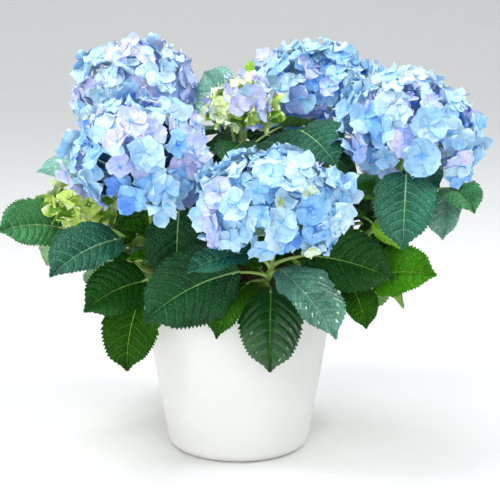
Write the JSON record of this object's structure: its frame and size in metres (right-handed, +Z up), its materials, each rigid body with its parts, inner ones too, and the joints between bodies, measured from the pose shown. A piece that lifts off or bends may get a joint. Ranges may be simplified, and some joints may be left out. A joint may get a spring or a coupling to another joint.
{
  "type": "potted hydrangea",
  "caption": "Mophead hydrangea in a plain round white pot, with broad drooping leaves and domed blue, lilac and cream-green flower heads on short green stems.",
  "frame": {"origin": "centre of the flat circle under the pot, on which the plant stands", "axes": "+Z up through the pot's axis; -Y towards the side with the lowest large flower head, +X to the right as seen from that side"},
  "size_m": [0.4075, 0.3211, 0.3488],
  "materials": {
    "pot": "satin white glaze",
    "compost": "matt, crumbly",
    "bark": "matt, ridged",
    "green_stem": "smooth, satin",
    "leaf": "satin, quilted between its veins",
    "petal_blue": "soft, matt",
    "petal_pale": "soft, matt",
    "petal_lilac": "soft, matt",
    "petal_young": "soft, matt"
  },
  "bodies": {
    "root": {"pot": "pot", "compost": "compost", "main_stem": "bark", "bough_low_back_left": "green_stem", "bough_low_back_right": "green_stem", "bough_back": "green_stem", "bough_low_left": "green_stem", "bough_low_right": "green_stem", "bough_low_front": "green_stem", "bough_back_left": "green_stem", "bough_back_right": "green_stem", "bough_front_left": "green_stem", "bough_front": "green_stem", "bough_right": "green_stem", "bough_middle": "green_stem", "leaves_low_back_left": "leaf", "leaves_low_back_right": "leaf", "leaves_back": "leaf", "leaves_low_left": "leaf", "leaves_low_right": "leaf", "leaves_low_front": "leaf", "leaves_back_left": "leaf", "leaves_back_right": "leaf", "leaves_front_left": "leaf", "leaves_front": "leaf", "leaves_right": "leaf", "leaves_middle": "leaf", "bloom_back_left": "petal_blue", "bloom_front_left": "petal_blue", "bloom_front": "petal_pale", "bloom_back_right": "petal_blue", "bloom_right": "petal_lilac", "bloom_middle": "petal_young", "bloom_low_left": "petal_young", "bloom_back": "petal_blue"}
  },
  "joints": []
}
